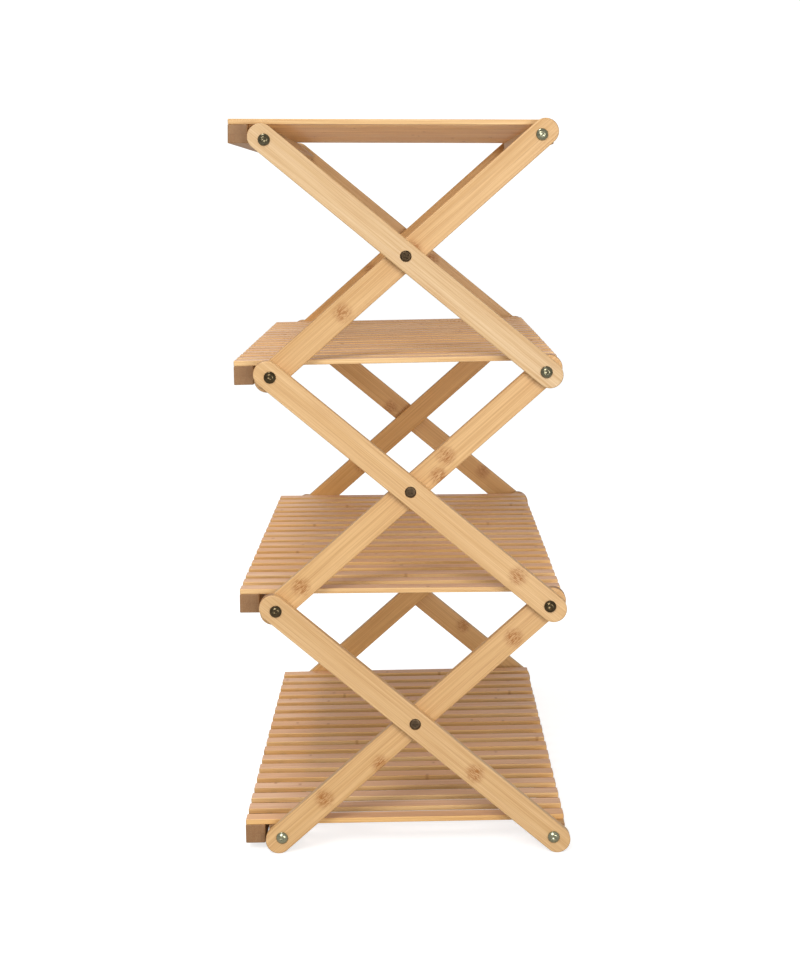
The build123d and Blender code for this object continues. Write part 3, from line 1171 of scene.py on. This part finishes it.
@dataclass
class CrossScrews:
    """Dark cross-head screws, sunk in the outer arms at the crossings."""

    places: Places
    shop: ShaderShop
    head_radius: float = 0.0053
    head_height: float = 0.0024
    crown: float = 0.0009
    rim_round: float = 0.0012
    shank_radius: float = 0.0025
    slot_length: float = 0.0064
    slot_width: float = 0.0013
    slot_depth: float = 0.0013
    edge_steps: int = 4
    sleeve_start: float = 0.0033
    sleeve_floor: float = 0.0016
    turn_step: float = 0.5
    tone_step: float = 0.3

    def screw(self, shank_length: float) -> bmesh.types.BMesh:
        """Makes one screw, its head above Z 0 and its shank below.

        Args:
            shank_length: From under the head to the tip.

        Returns:
            The solid.
        """
        profile = [(self.shank_radius, -shank_length), (self.shank_radius, 0.0),
                   (self.head_radius, 0.0), (self.head_radius, self.head_height - self.crown)]
        for step in range(1, self.edge_steps + 1):
            angle = math.pi / 2 * step / self.edge_steps
            profile.append((self.head_radius - self.rim_round * (1 - math.cos(angle)),
                            self.head_height - self.crown * (1 - math.sin(angle))))
        for scale, depth in ((1.0, 0.0), (0.9, 0.00025), (0.8, self.slot_depth)):
            slots = plus_sign(scale * self.slot_length, scale * self.slot_width)
            profile.append((slots, self.head_height - depth))
        return turned(profile)

    def build(self) -> None:
        """Makes and dresses the screws of every crossing."""
        finish = MetalFinish("dark screws", (0.062, 0.04, 0.022, 1.0),
                             (0.125, 0.085, 0.05, 1.0), 0.34).build(self.shop)
        for stage, name in STAGES.items():
            node = f"crossing_{stage}_screws"
            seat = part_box(node)[1].y - self.head_height
            tip = self.places.inner_face + self.sleeve_start + self.sleeve_floor
            solids = []
            for end in End:
                at = Vector((self.places.middle_x, end.value * seat,
                             self.places.crossing_z(stage)))
                screw = self.screw(seat - tip)
                mark_grain(screw, 2, self.tone_step * stage)
                solids.append(place(screw, upright(at, self.turn_step * stage, end)))
            make_piece(f"screws_of_crossing_{stage}", solids, finish, f"{name}_outer_arms",
                       node)


def dress_hidden_metal(shop: ShaderShop) -> None:
    """Gives the washers, inserts and sleeve nuts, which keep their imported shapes, a finish.

    Args:
        shop: The shared node groups.
    """
    zinc = MetalFinish("zinc plate", (0.52, 0.52, 0.5, 1.0), (0.6, 0.6, 0.55, 1.0), 0.34)
    brass = MetalFinish("turned brass", (0.6, 0.42, 0.17, 1.0), (0.65, 0.47, 0.2, 1.0), 0.3)
    plated = zinc.build(shop)
    finishes = {"_washers": plated, "_sleeve_nuts": plated, "_inserts": brass.build(shop)}
    for name, node in frame["nodes"].items():
        for ending, material in finishes.items():
            if name.endswith(ending):
                node.material_slots[0].material = material
                LOG.info("%s: keeps its shape, dressed in %s", name, material.name)


# Studio -----------------------------------------------------------------------------------
@dataclass
class Studio:
    """A white floor, a white surround, soft lights and the camera."""

    floor_radius: float = 30.0
    floor_drop: float = 0.0002
    floor_grey: Colour = (0.6, 0.6, 0.6, 1.0)
    floor_glow: float = 0.73
    room_light: float = 0.5
    paper_glow: float = 0.6
    white: Colour = (1.0, 1.0, 1.0, 1.0)
    eye: tuple[float, float, float] = (0.0163, -2.3204, 0.6577)
    yaw_pitch_roll: tuple[float, float, float] = (-0.381, 4.045, -1.170)
    lens: float = 73.755
    shift_y: float = -0.15

    def floor(self) -> None:
        """Lays the floor just under the rack's feet."""
        mesh = bpy.data.meshes.new("studio_floor")
        bm = bmesh.new()
        bmesh.ops.create_circle(bm, cap_ends=True, segments=96, radius=self.floor_radius)
        bm.to_mesh(mesh)
        bm.free()
        mesh.transform(Matrix.Translation((0, 0, CAD_BOX[0].z - self.floor_drop)))
        floor = bpy.data.objects.new("studio_floor", mesh)
        bpy.context.scene.collection.objects.link(floor)
        material, graph, shader = start_material("studio floor")
        seen = graph.add("LightPath").outputs["Is Camera Ray"]
        graph.feed(shader.inputs["Base Color"], self.floor_grey)
        graph.feed(shader.inputs["Roughness"], 0.9)
        graph.feed(shader.inputs["Specular IOR Level"], 0.0)
        graph.feed(shader.inputs["Emission Color"], self.white)
        graph.feed(shader.inputs["Emission Strength"],
                   graph.math("MULTIPLY", seen, self.floor_glow))
        mesh.materials.append(material)

    def surround(self) -> None:
        """A white surround that the camera sees as paper and the rack as soft light."""
        world = bpy.data.worlds.new("studio")
        bpy.context.scene.world = world
        world.use_nodes = True
        graph = Graph(world.node_tree)
        seen = graph.add("LightPath").outputs["Is Camera Ray"]
        strength = graph.math("MULTIPLY_ADD", seen, self.paper_glow, self.room_light)
        background = world.node_tree.nodes["Background"]
        graph.feed(background.inputs["Color"], self.white)
        graph.feed(background.inputs["Strength"], strength)

    def lamp(self, name: str, place_at: Sequence[float], aim: Sequence[float], size: float,
             power: float) -> None:
        """Hangs one square soft light.

        Args:
            name: Its name.
            place_at: Where it is.
            aim: Where it points.
            size: The length of its side.
            power: Its power in watts.
        """
        data = bpy.data.lights.new(name, "AREA")
        data.shape = "SQUARE"
        data.size = size
        data.energy = power
        lamp = bpy.data.objects.new(name, data)
        lamp.location = place_at
        lamp.rotation_euler = (Vector(aim) - Vector(place_at)).to_track_quat("-Z", "Y").to_euler()
        bpy.context.scene.collection.objects.link(lamp)

    def camera(self) -> None:
        """Sets up the camera, which looks at the rack's end from a little above its middle."""
        yaw, pitch, roll = (math.radians(angle) for angle in self.yaw_pitch_roll)
        data = bpy.data.cameras.new("camera")
        data.sensor_width = 36.0
        data.lens = self.lens
        data.shift_y = self.shift_y
        data.clip_end = 100.0
        camera = bpy.data.objects.new("camera", data)
        turn = (Matrix.Rotation(-yaw, 4, "Z") @ Matrix.Rotation(math.pi / 2 - pitch, 4, "X")
                @ Matrix.Rotation(roll, 4, "Z"))
        camera.matrix_world = Matrix.Translation(self.eye) @ turn
        bpy.context.scene.collection.objects.link(camera)
        bpy.context.scene.camera = camera

    def build(self) -> None:
        """Sets the whole studio."""
        self.floor()
        self.surround()
        self.lamp("front light", (-0.9, -3.1, 2.3), (0.0, 0.0, 0.25), 1.4, 56.0)
        self.lamp("fill light", (1.4, -3.4, 0.1), (0.0, 0.0, 0.1), 1.8, 76.0)
        self.lamp("top light", (-0.75, -0.2, 3.1), (0.0, 0.0, 0.3), 0.6, 26.0)
        bpy.context.scene.view_settings.view_transform = "Standard"
        self.camera()


def main() -> None:
    """Builds the rack's pieces in order, then the studio."""
    logging.basicConfig(level=logging.INFO, format="%(name)s: %(message)s")
    places = Places.read()
    shop = ShaderShop()
    ScissorArms(places, shop).build()
    SlattedShelves(places, shop).build()
    RestBars(places, shop).build()
    PivotBolts(places, shop).build()
    CrossScrews(places, shop).build()
    dress_hidden_metal(shop)
    Studio().build()


if __name__ == "__main__":
    main()
